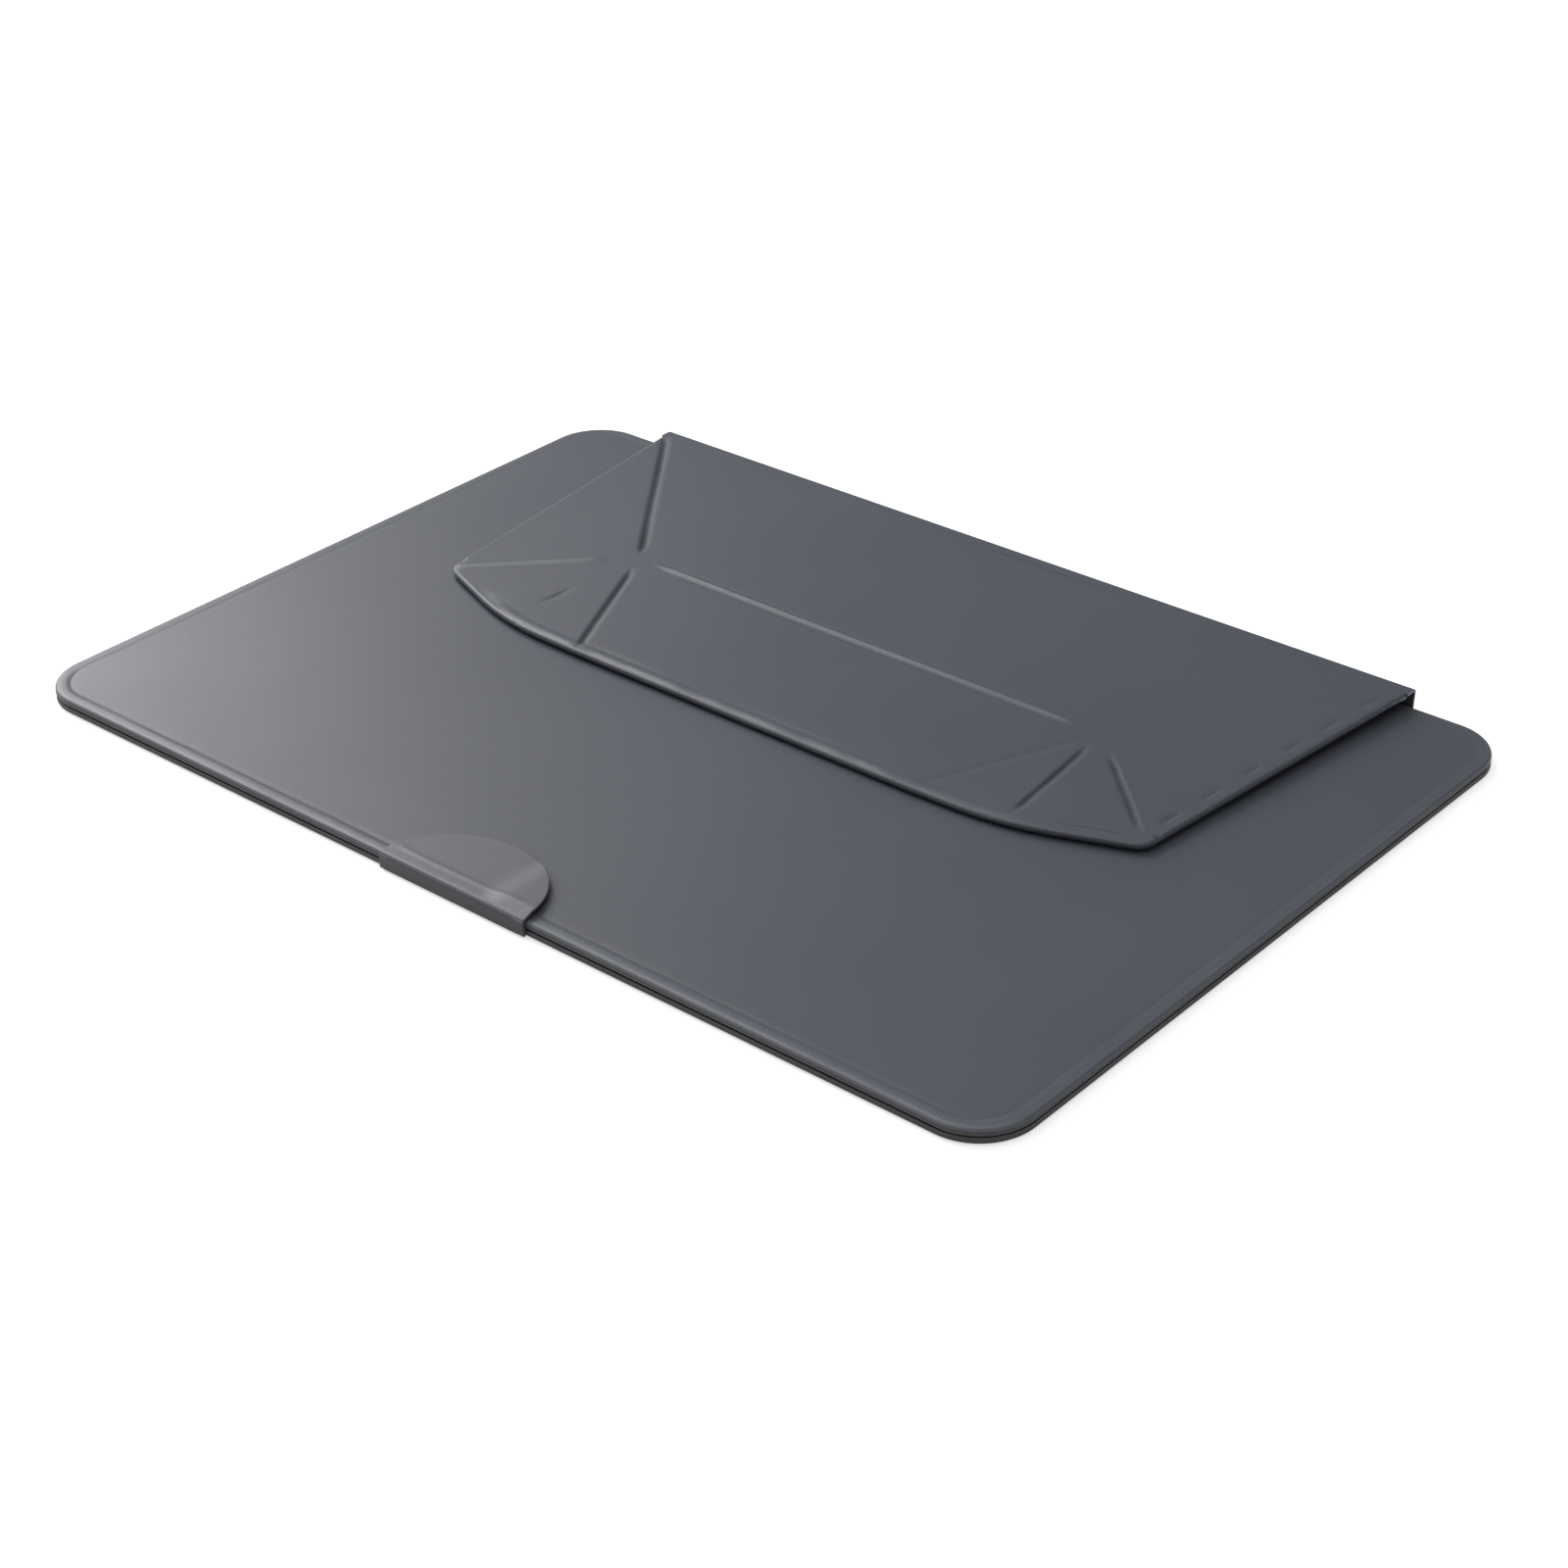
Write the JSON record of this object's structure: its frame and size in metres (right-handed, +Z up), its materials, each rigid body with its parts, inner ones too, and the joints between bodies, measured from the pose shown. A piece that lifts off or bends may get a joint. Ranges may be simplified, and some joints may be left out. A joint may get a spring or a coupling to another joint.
{
  "type": "laptop sleeve with fold-out stand",
  "caption": "Thin grey leatherette laptop sleeve whose magnetic spine flap pops up along creases into a ridge that props the sleeve as a stand; a half-round tab closes the pocket mouth.",
  "frame": {"origin": "centre of the bounding box, on the surface the sleeve lies on", "axes": "+X along the long edges, +Y from the tab edge towards the spine, +Z up through the flap"},
  "size_m": [0.355, 0.2444, 0.0102],
  "materials": {
    "leatherette": "fine-grained slate grey leatherette with a soft satin sheen and folded, pressed edges",
    "lining": "short-pile dark grey microfibre lining",
    "board": "grey-brown fibre stiffening board",
    "magnet": "nickel-plated disc magnets",
    "steel": "thin bare steel discs"
  },
  "bodies": {
    "sleeve": {"bottom_skin": "leatherette", "bottom_board": "board", "bottom_lining": "lining", "top_lining": "lining", "top_board": "board", "top_skin": "leatherette", "left_seam": "leatherette", "right_seam": "leatherette", "rear_seam": "leatherette", "mouth_hem_bottom": "leatherette", "mouth_hem_top": "leatherette", "flap_keeper_1": "steel", "flap_keeper_2": "steel", "flap_keeper_3": "steel", "flap_keeper_4": "steel", "tab_keeper": "steel", "spine_lower_lining": "lining", "spine_lower_board": "board", "spine_lower_skin": "leatherette"},
    "spine": {"spine_upper_lining": "lining", "spine_upper_board": "board", "spine_upper_skin": "leatherette"},
    "rear_panel": {"rear_panel_lining": "lining", "rear_panel_board": "board", "rear_panel_skin": "leatherette"},
    "front_panel": {"front_panel_lining": "lining", "front_panel_board": "board", "front_panel_skin": "leatherette", "flap_magnet_1": "magnet", "flap_magnet_2": "magnet", "flap_magnet_3": "magnet", "flap_magnet_4": "magnet"},
    "left_side_panel": {"left_side_panel_lining": "lining", "left_side_panel_board": "board", "left_side_panel_skin": "leatherette"},
    "left_corner_panel": {"left_corner_panel_lining": "lining", "left_corner_panel_board": "board", "left_corner_panel_skin": "leatherette"},
    "left_fold_panel": {"left_fold_panel_lining": "lining", "left_fold_panel_board": "board", "left_fold_panel_skin": "leatherette"},
    "right_side_panel": {"right_side_panel_lining": "lining", "right_side_panel_board": "board", "right_side_panel_skin": "leatherette"},
    "right_corner_panel": {"right_corner_panel_lining": "lining", "right_corner_panel_board": "board", "right_corner_panel_skin": "leatherette"},
    "right_fold_panel": {"right_fold_panel_lining": "lining", "right_fold_panel_board": "board", "right_fold_panel_skin": "leatherette"},
    "closing_tab": {"tab_skin": "leatherette", "tab_magnet": "magnet", "tab_lining": "lining", "tab_wrap": "leatherette"}
  },
  "joints": [
    {"name": "flap_swing", "type": "hinge", "parent": "sleeve", "child": "spine", "pos_m": [0, 0.1224, 0.00525], "axis": [-1, 0, 0], "range_deg": [0, 180]},
    {"name": "stand_fold", "type": "hinge", "parent": "spine", "child": "rear_panel", "pos_m": [0, 0.11945, 0.0088], "axis": [-1, 0, 0], "range_deg": [0, 35]},
    {"name": "ridge_fold", "type": "hinge", "parent": "rear_panel", "child": "front_panel", "pos_m": [0, 0.04605, 0.00585], "axis": [1, 0, 0], "range_deg": [0, 82]},
    {"name": "left_side_fold", "type": "hinge", "parent": "rear_panel", "child": "left_side_panel", "pos_m": [-0.0883, 0.04605, 0.00585], "axis": [0.6044, -0.7965, -0.0136], "range_deg": [0, 67]},
    {"name": "left_corner_fold", "type": "hinge", "parent": "left_side_panel", "child": "left_corner_panel", "pos_m": [-0.0883, 0.04605, 0.00795], "axis": [0.7311, 0.6822, 0.0117], "range_deg": [0, 16]},
    {"name": "left_inner_fold", "type": "hinge", "parent": "front_panel", "child": "left_fold_panel", "pos_m": [-0.0883, 0.04605, 0.00795], "axis": [-0.416, 0.9092, 0.0155], "range_deg": [0, 89]},
    {"name": "right_side_fold", "type": "hinge", "parent": "rear_panel", "child": "right_side_panel", "pos_m": [0.0883, 0.04605, 0.00585], "axis": [0.6044, 0.7965, 0.0136], "range_deg": [0, 67]},
    {"name": "right_corner_fold", "type": "hinge", "parent": "right_side_panel", "child": "right_corner_panel", "pos_m": [0.0883, 0.04605, 0.00795], "axis": [0.7311, -0.6822, -0.0117], "range_deg": [0, 16]},
    {"name": "right_inner_fold", "type": "hinge", "parent": "front_panel", "child": "right_fold_panel", "pos_m": [0.0883, 0.04605, 0.00795], "axis": [-0.416, -0.9092, -0.0155], "range_deg": [0, 89]},
    {"name": "tab_swing", "type": "hinge", "parent": "sleeve", "child": "closing_tab", "pos_m": [0, -0.12165, 0.0005], "axis": [1, 0, 0], "range_deg": [0, 90]}
  ],
  "couplings": [
    {"joint": "ridge_fold", "follows": "stand_fold", "ratio": 2.33},
    {"joint": "left_side_fold", "follows": "stand_fold", "ratio": 1.9},
    {"joint": "left_corner_fold", "follows": "stand_fold", "ratio": 0.45},
    {"joint": "left_inner_fold", "follows": "stand_fold", "ratio": 2.54},
    {"joint": "right_side_fold", "follows": "stand_fold", "ratio": 1.9},
    {"joint": "right_corner_fold", "follows": "stand_fold", "ratio": 0.45},
    {"joint": "right_inner_fold", "follows": "stand_fold", "ratio": 2.54}
  ]
}
